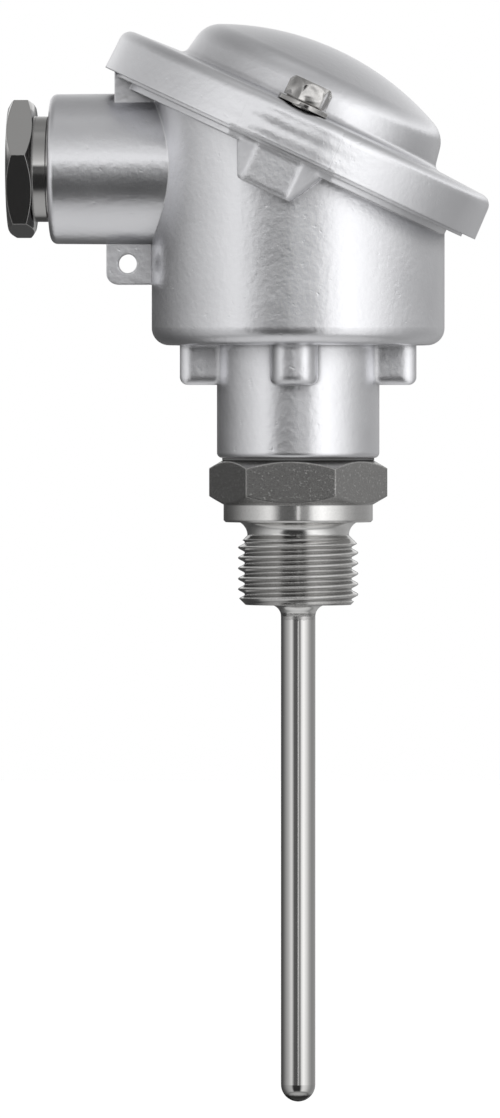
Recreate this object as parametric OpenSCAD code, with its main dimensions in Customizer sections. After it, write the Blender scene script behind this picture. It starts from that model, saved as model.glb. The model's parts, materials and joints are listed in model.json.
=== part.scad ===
// Screw-in resistance temperature probe with a cast connection head.
// Origin: centre of the collar's sealing face, on the stem's axis.
// +Z runs up the stem into the head, the cable entry points to -X.
// All sizes are in millimetres.

/* [Protection tube] */
// Length from the sealing face to the tip
insertion_l = 101; // [80:1:250]
// Outer diameter of the protection tube
tube_d = 6; // [5.6:0.1:8]
// Bore of the protection tube
tube_bore = 4; // [3.7:0.1:4.6]
// Length of the welded end cap
tip_l = 5; // [4.5:0.5:12]
// Height of the tube's upper end above the sealing face
tube_seat = 2; // [1:0.1:2.4]

/* [Process fitting] */
// Outer diameter of the parallel pipe thread
thread_d = 20.955; // [20.4:0.001:22.9]
// Length from the sealing face to the end of the thread
thread_l = 14.4; // [11:0.2:20]
// Smallest diameter of the thread relief
relief_d = 17.7; // [17:0.1:18.6]
// Radius of the thread relief
relief_r = 2.6; // [2.4:0.1:4]
// Distance from the sealing face to the relief's smallest diameter
relief_l = 2.3; // [1.6:0.1:2.4]
// Chamfer at the end of the thread
thread_chamfer = 1.3; // [0.5:0.1:1.6]
// Radius of the weld throat between the thread's end and the tube
throat_r = 2; // [1:0.1:3]
// Diameter of the collar
collar_d = 26; // [25:0.1:26.8]
// Thickness of the collar
collar_h = 3.1; // [2:0.1:5]
// Hexagon across flats
hex_af = 27; // [27:0.5:32]
// Height of the hexagon
hex_h = 7.7; // [6:0.1:12]
// Turn of the hexagon against the head
hex_turn = -3; // [-30:1:30]
// How much smaller the chamfered ends of the hexagon are than across flats
hex_face_drop = 0.8; // [0.4:0.1:1.6]
// Length of the male head thread above the hexagon
spigot_l = 13; // [8:0.5:16]

/* [Connection head] */
// Diameter of the head thread
head_thread_d = 24; // [22:0.5:25]
// Thickness of the flat gasket between fitting and head
neck_gasket_t = 0.4; // [0.3:0.1:1]
// Outer diameter of the neck
neck_d = 28.3; // [28:0.1:31]
// Length of the neck
neck_l = 19.6; // [18:0.2:26]
// Edge radius at the neck's lower end
neck_edge_r = 0.9; // [0.3:0.1:1.2]
// Outer diameter of the body
body_d = 51; // [50:0.5:54]
// Wall of the body
wall = 3; // [2.4:0.1:3.4]
// Thickness of the body's floor
floor_t = 3.2; // [2.5:0.1:5]
// Edge radius at the body's lower end
body_edge_r = 3; // [1:0.1:4]
// Spacing of the threaded holes that hold the measuring insert
insert_pitch = 33; // [32:0.2:34]
// Width of each lug round the neck
lug_w = 8.2; // [7:0.1:10]
// Height of each lug below the body
lug_h = 6.9; // [5:0.1:10]
// Corner radius of each lug
lug_corner_r = 2.7; // [1:0.1:3.4]
// Radius of each lug's lower edges
lug_edge_r = 1.4; // [0.6:0.1:1.8]
// Height of the pads on the floor
pad_h = 2; // [1:0.1:3]

/* [Cover seat] */
// Tilt of the cover, down towards +X
cover_tilt = 25; // [20:1:27]
// Distance from the stem's axis to the centre of the cover's lower plane
cover_shift = 1.4; // [0:0.1:3]
// Height of that centre above the top of the neck
cover_rise = 33.4; // [32.6:0.1:40]
// Diameter of the flange that carries the cover
flange_d = 66.2; // [65:0.1:68]
// How far the flange shows below the cover
flange_drop = 0.55; // [0.3:0.05:1.5]
// Height of the flange's top above the cover's lower plane
flange_rise = 3.6; // [3:0.1:4.2]
// Diameter of the step below the flange
step_d = 60.6; // [58:0.2:63]
// Depth of the step below the cover's lower plane
step_drop = 1.6; // [1:0.1:3]

/* [Cover] */
// Outer diameter at the cover's lower edge
cover_d = 71; // [70.4:0.1:74]
// Height of the rim at its edge
rim_h = 7.65; // [7.4:0.05:9]
// Draft of the rim's outer wall
rim_draft = 1.3; // [0:0.1:3]
// Radius of the rim's upper edge
rim_edge_r = 2; // [1:0.1:2.6]
// Slope of the rim's top towards the dome
rim_slope = 3; // [0:0.1:5]
// Diameter of the dome where its side meets the rim
dome_d = 48; // [46:0.2:49]
// Height of the dome's top above the cover's lower plane
dome_h = 19.8; // [18:0.1:24]
// Radius of the dome's crown
crown_r = 49; // [44:0.5:80]
// Radius of the dome's shoulder
shoulder_r = 5; // [3:0.1:6]
// Draft of the dome's side
dome_draft = 12; // [6:0.5:14]
// Radius between the dome and the rim
dome_fillet_r = 1.2; // [0.6:0.1:1.6]
// Wall of the cover's dome
cover_wall = 2.6; // [2:0.1:3]
// Distance from the cover's axis to the flats at its front and back
rim_flat = 34.4; // [34.2:0.1:35]
// Thickness of the cover gasket
gasket_t = 1.2; // [0.9:0.1:1.4]
// Depth of the gasket's groove in the cover
gasket_groove = 0.4; // [0.2:0.1:0.5]
// Width of the cover gasket
gasket_w = 2.2; // [1.5:0.1:2.4]

/* [Cover screws] */
// Distance between the two cover screws
screw_pitch = 58.4; // [58:0.1:60]
// Thread diameter of the cover screws
screw_d = 4; // [3.5:0.1:4]
// Across flats of the screw heads
screw_af = 7; // [6.4:0.1:7.4]
// Height of the screw heads
screw_head_h = 3.8; // [3:0.1:4.4]
// Turn of the screw heads at rest
screw_turn = 15; // [0:1:60]
// Length of the screws under the head
screw_l = 13; // [11:0.5:14]
// Outer diameter of the screw washers
washer_d = 9.2; // [8.4:0.1:9.6]
// Thickness of the screw washers
washer_t = 0.8; // [0.5:0.1:1.2]
// Width of the screw boss below the flange
boss_top_w = 17.6; // [16:0.1:19]
// Width of the screw boss at its bottom
boss_bottom_w = 9.9; // [9:0.1:12]
// Depth of the screw boss below the cover's lower plane
boss_drop = 7.6; // [6:0.1:9]
// Width of the flat face of the screw boss
boss_face_w = 8.4; // [7:0.1:9]
// Distance from the cover's axis to the face of the screw boss
boss_reach = 32.3; // [32:0.1:33]

/* [Cable entry] */
// Height of the entry's axis above the top of the neck
entry_rise = 30.7; // [29:0.1:31]
// Distance from the stem's axis to the entry's face
entry_reach = 43.1; // [41:0.1:48]
// Diameter of the entry's boss at its face
entry_d = 26.1; // [25:0.1:27]
// Draft of the entry's boss
entry_draft = 0.4; // [0:0.1:1]
// Edge radius of the entry's boss
entry_edge_r = 1.2; // [0.5:0.1:1.5]
// Thread diameter of the pressure screw
gland_d = 20; // [18:0.5:20.5]
// Thread pitch of the pressure screw
gland_pitch = 1.5; // [1:0.25:2]
// Threaded length of the pressure screw
gland_thread_l = 7; // [5:0.5:8]
// Across flats of the pressure screw
gland_af = 22; // [21.5:0.5:24]
// Thickness of the pressure screw's hexagon
gland_hex_h = 4.6; // [3.5:0.1:7]
// Turn of the pressure screw's hexagon at rest
gland_turn = 40; // [0:1:60]
// Diameter of the neck below the hexagon
gland_neck_d = 18.4; // [17.8:0.1:18.6]
// Length of that neck in front of the entry's face
gland_neck_l = 2.7; // [2:0.1:4]
// Width of the thread's run-out groove
gland_groove_w = 0.5; // [0.3:0.1:1]
// Depth of the thread's run-out groove
gland_groove_t = 0.65; // [0.3:0.05:0.9]
// Bore of the pressure screw
gland_bore = 13; // [11:0.5:14]
// Thickness of the two gland washers
gland_washer_t = 1; // [0.8:0.1:1.5]
// Length of the rubber seal
seal_l = 8; // [6:0.5:9]
// Bore of the rubber seal
seal_bore = 10; // [8:0.5:11]
// Bore from the seal's seat into the chamber
entry_bore = 14; // [12:0.5:15]

/* [Sealing eye] */
// Distance from the stem's axis to the eye's hole
eye_reach = 29.7; // [29.2:0.1:30.4]
// Height of the eye's hole above the top of the neck
eye_rise = 14.2; // [13.6:0.1:14.6]
// Diameter of the eye's hole
eye_hole_d = 3.3; // [2:0.1:3.6]
// Thickness of the eye's plate
eye_t = 3.6; // [2.5:0.1:5]
// Metal round the eye's hole
eye_margin = 2; // [1.5:0.1:2.4]
// Corner radius of the eye's plate
eye_corner_r = 2; // [1:0.1:2.4]

/* [Measuring insert] */
// Gap between the insert's plate and the body's wall
plate_gap = 1.5; // [1:0.1:2]
// Thickness of the insert's plate
plate_t = 1.5; // [1:0.1:2]
// Diameter of the insert's sheath
sheath_d = 3; // [2.8:0.1:3.2]
// Bore of the insert's sheath
sheath_bore = 2; // [1.9:0.05:2.2]
// Travel of the insert against its springs
insert_travel = 3; // [1:0.1:3.4]
// Diameter of the sensing element
element_d = 1.7; // [1.5:0.05:1.8]
// Length of the sensing element
element_l = 15; // [8:1:25]
// Diameter of the bare wires in the sheath
wire_d = 0.4; // [0.3:0.05:0.5]
// Diameter of the insulated wires above the sheath
sleeve_d = 0.7; // [0.6:0.05:0.8]
// Length of the springs under the screw heads
spring_l = 7.5; // [7:0.1:8.5]
// Outer diameter of the springs
spring_d = 7.4; // [6.6:0.1:7.8]
// Wire of the springs
spring_wire = 0.7; // [0.5:0.05:0.8]
// Turns of each spring
spring_turns = 4.5; // [3:0.5:5]

/* [Terminal block] */
// Length of the terminal block across the insert's screws' line
block_l = 28; // [26:0.5:29]
// Width of the terminal block
block_w = 22; // [21:0.5:23]
// Height of the terminal block's base
block_h = 6; // [5:0.1:8]
// Height of the walls between the terminals
rib_h = 5.5; // [4.8:0.1:6.5]
// Bore of the terminal block
block_bore = 9; // [8:0.1:10]
// Distance from the stem's axis to each terminal
terminal_reach = 10.6; // [10.4:0.1:10.8]
// Width of each terminal clamp
clamp_w = 5.6; // [5:0.1:6]
// Height of each terminal clamp
clamp_h = 4.6; // [4:0.1:5]

/* [Hidden] */
$fn = 96;

// Clearances
thread_gap = 0.05;     // radial, between a male and a female thread
slip_gap = 0.2;        // radial, round a screw in a plain hole
seat_gap = 0.3;        // between the insert's tip and the end cap
eps = 0.01;            // overlap of a cut past a face
reach = 200;           // larger than the whole part

// Levels on the stem's axis
fitting_top = collar_h + hex_h;
neck_z = fitting_top + neck_gasket_t;
body_z = neck_z + neck_l;
floor_z = body_z + floor_t;
pad_z = floor_z + pad_h;
plate_top = pad_z + plate_t;
block_top = plate_top + block_h;
spring_top = plate_top + spring_l;
cover_z = body_z + cover_rise;
entry_z = body_z + entry_rise;
eye_z = body_z + eye_rise;
weld_z = -thread_l - throat_r;
cap_z = -insertion_l + tip_l;

// Process fitting
collar_edge = 0.5;     // side of the square that chamfers the collar's lower edge

// Head
neck_r = neck_d / 2;
body_r = body_d / 2;
chamber_r = body_r - wall;
insert_r = insert_pitch / 2;
head_thread_r = head_thread_d / 2;
spigot_wall = 3.5;
spigot_bore_r = head_thread_r - spigot_wall;
passage_r = head_thread_r - 2;
lug_reach = insert_r + lug_w / 2;
m4_r = 2;
m4_depth = 10;
m4_head_d = 7;
m4_head_h = 2.6;
m4_slot_w = 1;
m4_slot_t = 1.2;

// Cover, on its own axis
screw_r = screw_pitch / 2;
thread_r = screw_d / 2;
land_z = flange_rise + gasket_t - gasket_groove;
dome_r = dome_d / 2;
shoulder_inset = 0.6;  // how far the dome's side has drawn in where its shoulder starts
shoulder_x = dome_r - shoulder_inset - shoulder_r;
rim_top_r = cover_d / 2 - rim_h * tan(rim_draft);
pad_face_z = rim_h + 0.3;
screw_face_d = screw_af - 0.3;
bearing_t = 0.2;
head_gap = 0.02; // between a screw's head and its washer, so that the head can turn
crown_angle = 54;
spot_r = washer_d / 2 + 0.4;
skirt_gap = 0.3;
screw_top_z = pad_face_z + washer_t + head_gap;
clip_t = 0.6;
clip_z = land_z + 0.3;
clip_r = 3.3;
clip_groove_r = thread_r - 0.4;
clip_pocket_r = clip_r + 0.4;
clip_pocket_z = clip_z + clip_t + 0.3;

// Cable entry
gland_r = gland_d / 2;
washer_x = entry_reach - gland_thread_l;
seal_x = washer_x - gland_washer_t;
seat_x = seal_x - seal_l;
bore_end_x = seat_x - gland_washer_t;

// Measuring insert
sheath_tip_z = -insertion_l + tube_d / 2 + seat_gap;
plate_d = 2 * (chamber_r - plate_gap);
sheath_top = plate_top + 1.5;
element_z = sheath_tip_z + sheath_d / 2;
wire_ring_r = sheath_bore / 2 - wire_d / 2 - 0.1;
wire_level = block_top + 2;
wire_bend_r = 1.5;
terminal_angles = [for (side = [0, 180], spread = [-40, 40]) side + spread];
rivet_d = 2;
rivet_head_d = 3.8;
rivet_head_h = 0.8;
rivet_y = block_w / 2 - 3;
terminal_r = 1.5;
terminal_head_d = 5.2;
terminal_head_h = 1.8;
shelf_z = plate_top + insert_travel + 1;
shelf_h = 5;
shelf_x = block_l / 2 + 1.2;
earth_x = shelf_x + 3.4;

// Moves a child from the cover's own frame to its place on the head.
module on_cover_axis() {
  translate([-cover_shift, 0, cover_z]) rotate([0, cover_tilt, 0]) children();
}

// Moves a child to the cable entry's axis, with its +Z pointing outwards to -X.
module on_entry_axis(x) {
  translate([-x, 0, entry_z]) rotate([0, -90, 0]) children();
}

// Rectangle from the origin with its four corners rounded.
module rounded_square(size, r) {
  translate([r, 0]) square([size.x - 2 * r, size.y]);
  translate([0, r]) square([size.x, size.y - 2 * r]);
  for (x = [r, size.x - r], y = [r, size.y - r])
    translate([x, y]) circle(r = r);
}

// Hexagonal prism with its corners turned off by the given angle at both ends.
module chamfered_hex(af, h, face_d, angle, bottom = true, top = true) {
  corner_r = af / sqrt(3);
  drop = (corner_r - face_d / 2) * tan(angle);
  lower = bottom ? drop : 0;
  upper = top ? drop : 0;
  intersection() {
    cylinder(r = corner_r, h = h, $fn = 6);
    rotate_extrude() polygon([
      [0, 0], [bottom ? face_d / 2 : corner_r, 0], [corner_r, lower],
      [corner_r, h - upper], [top ? face_d / 2 : corner_r, h], [0, h]
    ]);
  }
}

// Washer or flat ring standing on the XY plane.
module ring(outer_d, inner_d, h) {
  difference() {
    cylinder(d = outer_d, h = h);
    translate([0, 0, -eps]) cylinder(d = inner_d, h = h + 2 * eps);
  }
}

// Everything below the flange's top plane.
module below_flange_top() {
  on_cover_axis() translate([-reach, -reach, flange_rise - 2 * reach]) cube(2 * reach);
}

// ---- Stem ----

module process_fitting() {
  face_d = hex_af - hex_face_drop;
  thread_r = thread_d / 2;
  rise = thread_r - relief_d / 2;
  color("darkgray") difference() {
    union() {
      rotate_extrude() difference() {
        union() {
          translate([0, weld_z]) square([tube_d / 2 + throat_r, throat_r + eps]);
          polygon([
            [0, -thread_l], [thread_r - thread_chamfer, -thread_l],
            [thread_r, -thread_l + thread_chamfer], [thread_r, -relief_l - rise],
            [relief_d / 2, -relief_l], [thread_r, -relief_l], [thread_r, eps], [0, eps]
          ]);
        }
        translate([tube_d / 2 + throat_r, weld_z]) circle(r = throat_r);
        intersection() {
          translate([relief_d / 2 + relief_r, -relief_l]) circle(r = relief_r);
          translate([0, -relief_l]) square([reach, relief_l + 1]);
        }
      }
      rotate_extrude() difference() {
        square([collar_d / 2, collar_h + eps]);
        translate([collar_d / 2, 0]) rotate(45) square(collar_edge, center = true);
      }
      translate([0, 0, collar_h]) rotate(hex_turn) chamfered_hex(hex_af, hex_h, face_d, 30);
      rotate_extrude() polygon([
        [0, collar_h], [head_thread_r - thread_gap, collar_h],
        [head_thread_r - thread_gap, fitting_top + spigot_l - 1],
        [head_thread_r - thread_gap - 1, fitting_top + spigot_l], [0, fitting_top + spigot_l]
      ]);
    }
    translate([0, 0, weld_z - eps]) cylinder(d = tube_d, h = tube_seat - weld_z + eps);
    rotate_extrude() polygon([
      [0, tube_seat - eps], [tube_bore / 2, tube_seat - eps], [tube_bore / 2, collar_h],
      [spigot_bore_r, collar_h + spigot_bore_r], [spigot_bore_r, fitting_top + spigot_l + eps],
      [0, fitting_top + spigot_l + eps]
    ]);
  }
}

module protection_tube() {
  color("silver") difference() {
    translate([0, 0, cap_z]) cylinder(d = tube_d, h = tube_seat - cap_z);
    translate([0, 0, cap_z - eps]) cylinder(d = tube_bore, h = tube_seat - cap_z + 2 * eps);
  }
}

module tube_tip() {
  color("dimgray") difference() {
    rotate_extrude() intersection() {
      union() {
        translate([0, -insertion_l + tube_d / 2]) circle(d = tube_d);
        translate([0, -insertion_l + tube_d / 2]) square([tube_d / 2, tip_l - tube_d / 2]);
      }
      translate([0, -insertion_l]) square([tube_d / 2, tip_l]);
    }
    translate([0, 0, -insertion_l + tube_d / 2]) cylinder(d = tube_bore, h = tip_l);
  }
}

module neck_gasket() {
  color("dimgray") translate([0, 0, fitting_top])
    ring(neck_d - 2 * neck_edge_r, head_thread_d, neck_gasket_t);
}

// ---- Connection head ----

module lug() {
  wide = lug_reach - insert_r;
  intersection() {
    translate([0, 0, body_z - lug_h]) linear_extrude(lug_h + floor_t) union() {
      translate([0, -lug_w / 2]) square([lug_reach - lug_corner_r, lug_w]);
      translate([lug_reach - wide - lug_corner_r, -lug_w / 2])
        rounded_square([wide + lug_corner_r, lug_w], lug_corner_r);
    }
    rotate([90, 0, 90]) translate([-lug_w / 2, body_z - lug_h])
      linear_extrude(lug_reach) rounded_square([lug_w, lug_h + floor_t], lug_edge_r);
    rotate_extrude() translate([0, body_z - lug_h]) union() {
      square([lug_reach - lug_edge_r, lug_h + floor_t]);
      translate([lug_reach - 2 * lug_edge_r, 0])
        rounded_square([2 * lug_edge_r, lug_h + floor_t], lug_edge_r - eps);
    }
  }
}

// Outer form of neck and body, up past the flange.
module body_form() {
  rotate_extrude() union() {
    translate([0, neck_z]) square([neck_r - neck_edge_r, neck_l + eps]);
    translate([0, neck_z + neck_edge_r]) square([neck_r, neck_l]);
    translate([neck_r - neck_edge_r, neck_z + neck_edge_r]) circle(r = neck_edge_r);
    translate([0, body_z]) square([body_r - body_edge_r, body_edge_r]);
    translate([body_r - body_edge_r, body_z + body_edge_r]) circle(r = body_edge_r);
    translate([0, body_z + body_edge_r]) square([body_r, 2 * cover_rise]);
  }
}

module entry_boss() {
  far_r = entry_d / 2 + entry_reach * tan(entry_draft);
  on_entry_axis(0) rotate_extrude() union() {
    polygon([
      [0, 0], [far_r, 0], [entry_d / 2, entry_reach - entry_edge_r],
      [entry_d / 2 - entry_edge_r, entry_reach], [0, entry_reach]
    ]);
    translate([entry_d / 2 - entry_edge_r, entry_reach - entry_edge_r]) circle(r = entry_edge_r);
  }
}

// Vertical wall that closes the space between the flange's edge and the entry's boss.
module entry_web() {
  edge_x = cover_shift + flange_d / 2 * cos(cover_tilt) + flange_drop * sin(cover_tilt);
  web_w = entry_d / 2;
  intersection() {
    translate([-edge_x, -web_w / 2, entry_z]) cube([edge_x, web_w, reach / 4]);
    on_cover_axis() translate([0, 0, -reach]) cylinder(d = reach, h = reach);
  }
}

// Boss for one cover screw, below the flange: a tapered block with a rounded foot.
module screw_boss() {
  foot_r = 0.9;
  side = (boss_top_w - boss_bottom_w) / 2;
  slant = atan(side / boss_drop);
  foot_half = boss_bottom_w / 2 - foot_r * tan(45 - slant / 2);
  back_half = boss_top_w / 2 + 0.4;
  cheek = back_half - boss_face_w / 2;
  intersection() {
    rotate([90, 0, 0]) linear_extrude(boss_reach) intersection() {
      polygon([
        [-boss_top_w / 2, 0], [-boss_top_w / 2, flange_rise], [boss_top_w / 2, flange_rise],
        [boss_top_w / 2, 0], [boss_bottom_w / 2, -boss_drop], [-boss_bottom_w / 2, -boss_drop]
      ]);
      union() {
        translate([-boss_top_w, foot_r - boss_drop]) square([2 * boss_top_w, reach]);
        translate([-foot_half, -boss_drop]) square([2 * foot_half, reach]);
        for (x = [-foot_half, foot_half]) translate([x, foot_r - boss_drop]) circle(r = foot_r);
      }
    }
    translate([0, 0, -boss_drop - eps]) linear_extrude(boss_drop + flange_rise) polygon([
      [-back_half, 0], [back_half, 0], [back_half, cheek - boss_reach],
      [boss_face_w / 2, -boss_reach], [-boss_face_w / 2, -boss_reach],
      [-back_half, cheek - boss_reach]
    ]);
  }
}

// Plate with a hole for a wire seal, cast on below the entry's boss.
module sealing_eye() {
  outer = eye_hole_d / 2 + eye_margin;
  color("gainsboro") difference() {
    rotate([90, 0, 0]) translate([0, 0, -eye_t / 2]) linear_extrude(eye_t) difference() {
      union() {
        translate([-eye_reach - outer + eye_corner_r, eye_z - outer])
          square([eye_reach + outer - body_r + eye_corner_r, entry_z - eye_z]);
        translate([-eye_reach - outer, eye_z - outer + eye_corner_r])
          square([eye_reach, entry_z - eye_z - eye_corner_r]);
        translate([-eye_reach - outer + eye_corner_r, eye_z - outer + eye_corner_r])
          circle(r = eye_corner_r);
      }
      translate([-eye_reach, eye_z]) circle(d = eye_hole_d);
    }
    body_form();
    entry_boss();
  }
}

module head_solid() {
  intersection() {
    union() {
      body_form();
      entry_boss();
      entry_web();
    }
    below_flange_top();
  }
  on_cover_axis() {
    translate([0, 0, -flange_drop]) cylinder(d = flange_d, h = flange_rise + flange_drop);
    translate([0, 0, -step_drop]) cylinder(d = step_d, h = flange_rise + step_drop);
    screw_boss();
    mirror([0, 1, 0]) screw_boss();
  }
  for (a = [0 : 90 : 270]) rotate(a) lug();
}

// Wiring chamber with its floor pads and the shelf for the earth screw left standing.
module chamber() {
  difference() {
    translate([0, 0, floor_z]) cylinder(r = chamber_r, h = reach);
    for (a = [0 : 90 : 270]) rotate(a) translate([insert_r, 0, floor_z - eps])
      cylinder(d = lug_w, h = pad_h + eps);
    translate([shelf_x, -4, shelf_z]) cube([chamber_r, 8, shelf_h]);
  }
}

module head_body() {
  color("gainsboro") difference() {
    head_solid();
    chamber();
    translate([0, 0, neck_z - eps]) cylinder(d = head_thread_d, h = spigot_l + 0.3);
    translate([0, 0, neck_z]) cylinder(r = passage_r, h = neck_l + 2 * floor_t);
    on_entry_axis(bore_end_x) cylinder(d = gland_d, h = reach);
    on_entry_axis(0) cylinder(d = entry_bore, h = entry_reach);
    for (a = [90, 270]) rotate(a) translate([insert_r, 0, pad_z - m4_depth])
      cylinder(r = m4_r, h = m4_depth + eps);
    translate([earth_x, 0, shelf_z - eps]) cylinder(r = m4_r, h = shelf_h + 2 * eps);
    on_cover_axis() for (s = [-1, 1]) translate([0, s * screw_r, screw_top_z - screw_l - 1])
      cylinder(r = thread_r, h = screw_l + 1);
  }
}

// ---- Cover ----

// Outer profile of the cover, from its lower plane to the crown.
module cover_profile() {
  crown_z = dome_h - crown_r;
  side_z = dome_h - crown_r + sqrt(pow(crown_r - shoulder_r, 2) - pow(shoulder_x, 2));
  crown_k = crown_r / (crown_r - shoulder_r);
  rim_in_z = rim_h + (rim_top_r - rim_edge_r - dome_r) * tan(rim_slope);
  arc_x = rim_top_r - rim_edge_r;
  tangent = dome_fillet_r * tan(45 - (dome_draft + rim_slope) / 2);
  fillet_x = dome_r + tangent * cos(rim_slope) + dome_fillet_r * sin(rim_slope);
  fillet_z = rim_in_z - tangent * sin(rim_slope) + dome_fillet_r * cos(rim_slope);
  difference() {
    union() {
      polygon([
        [0, 0], [cover_d / 2, 0], [rim_top_r, rim_h - rim_edge_r],
        [arc_x, rim_h], [dome_r, rim_in_z], [0, rim_in_z]
      ]);
      translate([arc_x, rim_h - rim_edge_r]) circle(r = rim_edge_r);
      polygon([
        [0, rim_in_z - 1], [dome_r, rim_in_z - 1],
        [dome_r + tangent * cos(rim_slope), rim_in_z - tangent * sin(rim_slope)],
        [dome_r - tangent * sin(dome_draft), rim_in_z + tangent * cos(dome_draft)],
        [shoulder_x + shoulder_r * cos(dome_draft), side_z + shoulder_r * sin(dome_draft)],
        [shoulder_x, side_z], [0, side_z]
      ]);
      translate([shoulder_x, side_z]) circle(r = shoulder_r);
      intersection() {
        translate([0, crown_z]) circle(r = crown_r, $fn = 360);
        polygon([
          [0, side_z - 1], [0, dome_h + eps], [shoulder_x * crown_k, dome_h + eps],
          [shoulder_x * crown_k, crown_z + (side_z - crown_z) * crown_k],
          [shoulder_x, side_z], [shoulder_x, side_z - 1]
        ]);
      }
    }
    translate([fillet_x, fillet_z]) circle(r = dome_fillet_r);
    translate([-reach, -reach]) square([reach, 2 * reach]);
  }
}

// Everything outside a straight rim, for the flats beside the screws.
module outside_flat_rim() {
  shift = cover_d / 2 - rim_flat;
  arc_x = rim_top_r - rim_edge_r;
  rotate([90, 0, 90]) translate([0, 0, -reach / 2]) linear_extrude(reach) difference() {
    translate([arc_x - shift, -eps]) square([reach, 2 * rim_h]);
    translate([-shift, shift * tan(rim_slope)]) union() {
      polygon([
        [dome_r, -rim_h], [cover_d / 2, -rim_h], [cover_d / 2, 0], [rim_top_r, rim_h - rim_edge_r],
        [arc_x, rim_h], [dome_r, rim_h]
      ]);
      translate([arc_x, rim_h - rim_edge_r]) circle(r = rim_edge_r);
    }
  }
}

// Hollow of the cover: the dome's inside and the recess that fits over the flange.
module cover_hollow() {
  inner_r = dome_r - cover_wall - 1;
  rotate_extrude() union() {
    translate([0, -eps]) square([flange_d / 2 + skirt_gap, land_z + eps]);
    intersection() {
      translate([0, dome_h - crown_r]) circle(r = crown_r - cover_wall, $fn = 360);
      square([inner_r, dome_h]);
    }
  }
}

// Flat ring that follows the body's wall, cut by two planes parallel to the cover.
module wall_ring(low, high) {
  outer_r = chamber_r + 0.4 + gasket_w;
  intersection() {
    difference() {
      cylinder(r = outer_r, h = reach / 2);
      cylinder(r = outer_r - gasket_w, h = reach / 2);
    }
    on_cover_axis() translate([-reach / 2, -reach / 2, low]) cube([reach, reach, high - low]);
  }
}

module cover() {
  color("lightgray") difference() {
    on_cover_axis() difference() {
      rotate_extrude() cover_profile();
      cover_hollow();
      outside_flat_rim();
      mirror([0, 1, 0]) outside_flat_rim();
      for (s = [-1, 1]) {
        translate([0, s * screw_r, pad_face_z]) cylinder(r = spot_r, h = reach / 10);
        translate([0, s * screw_r, 0]) cylinder(r = thread_r + slip_gap, h = rim_h + 2);
        translate([0, s * screw_r, 0]) cylinder(r = clip_pocket_r, h = clip_pocket_z);
      }
    }
    wall_ring(land_z - eps, land_z + gasket_groove);
  }
}

module cover_gasket() {
  color("dimgray") wall_ring(flange_rise, flange_rise + gasket_t);
}

// Captive hexagon screw with a slot, on the side of the cover given by s.
module cover_screw(s) {
  slot_w = 1;
  slot_t = 1.2;
  color("silver") on_cover_axis() translate([0, s * screw_r, screw_top_z]) difference() {
    union() {
      cylinder(d = screw_face_d, h = bearing_t + eps);
      translate([0, 0, bearing_t]) rotate(screw_turn)
        chamfered_hex(screw_af, screw_head_h - bearing_t, screw_face_d, crown_angle, bottom = false);
      translate([0, 0, -screw_l]) cylinder(r = thread_r - thread_gap, h = screw_l + eps);
    }
    translate([-screw_af, -slot_w / 2, screw_head_h - slot_t]) cube([2 * screw_af, slot_w, slot_t + eps]);
    translate([0, 0, clip_z - screw_top_z - thread_gap])
      ring(screw_d + 1, 2 * clip_groove_r, clip_t + 2 * thread_gap);
  }
}

module screw_washer(s) {
  color("silver") on_cover_axis() translate([0, s * screw_r, pad_face_z])
    ring(washer_d, screw_d + 2 * slip_gap, washer_t);
}

// Open retaining ring that keeps a cover screw in the cover.
module screw_clip(s) {
  color("dimgray") on_cover_axis() translate([0, s * screw_r, clip_z]) linear_extrude(clip_t)
    difference() {
      circle(r = clip_r);
      circle(r = clip_groove_r + thread_gap);
      translate([0, -clip_groove_r]) square([clip_r + 1, 2 * clip_groove_r]);
    }
}

// ---- Cable entry ----

module pressure_screw() {
  groove_r = gland_neck_d / 2 - gland_groove_t;
  color("silver") on_entry_axis(0) difference() {
    union() {
      translate([0, 0, washer_x + gland_pitch / 2])
        cylinder(r = gland_r - thread_gap, h = gland_thread_l - gland_groove_w - gland_pitch / 2);
      translate([0, 0, washer_x])
        cylinder(r1 = gland_r - gland_pitch / 2, r2 = gland_r - thread_gap, h = gland_pitch / 2);
      translate([0, 0, entry_reach - gland_groove_w - eps]) cylinder(r = groove_r, h = gland_neck_l);
      translate([0, 0, entry_reach + gland_groove_w])
        cylinder(d = gland_neck_d, h = gland_neck_l - gland_groove_w);
      translate([0, 0, entry_reach + gland_neck_l]) rotate(gland_turn)
        chamfered_hex(gland_af, gland_hex_h, gland_af - 0.4, 30);
    }
    translate([0, 0, washer_x - eps]) cylinder(d = gland_bore, h = reach);
    translate([0, 0, entry_reach + gland_neck_l + gland_hex_h - 1])
      cylinder(d1 = gland_bore, d2 = gland_bore + 2 + 2 * eps, h = 1 + eps);
  }
}

module gland_washer() {
  color("silver") on_entry_axis(seal_x) ring(gland_d - 4 * slip_gap, gland_bore, gland_washer_t);
}

module gland_seal() {
  color("black") on_entry_axis(seat_x) ring(gland_d - 4 * slip_gap, seal_bore, seal_l);
}

module seal_seat_washer() {
  color("silver") on_entry_axis(bore_end_x) ring(gland_d - 4 * slip_gap, gland_bore, gland_washer_t);
}

// ---- Measuring insert ----

module insert_plate() {
  color("silver") difference() {
    translate([0, 0, pad_z]) cylinder(d = plate_d, h = plate_t);
    translate([0, 0, pad_z - eps]) cylinder(d = sheath_d, h = plate_t + 2 * eps);
    for (s = [-1, 1]) translate([0, s * insert_r, pad_z - eps])
      cylinder(r = m4_r + slip_gap, h = plate_t + 2 * eps);
  }
}

module insert_sheath() {
  color("silver") difference() {
    union() {
      translate([0, 0, element_z]) cylinder(d = sheath_d, h = sheath_top - element_z);
      translate([0, 0, element_z]) sphere(d = sheath_d);
    }
    translate([0, 0, element_z]) cylinder(d = sheath_bore, h = sheath_top - element_z + eps);
  }
}

module sensing_element() {
  color("white") translate([0, 0, element_z]) cylinder(d = element_d, h = element_l);
}

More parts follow.
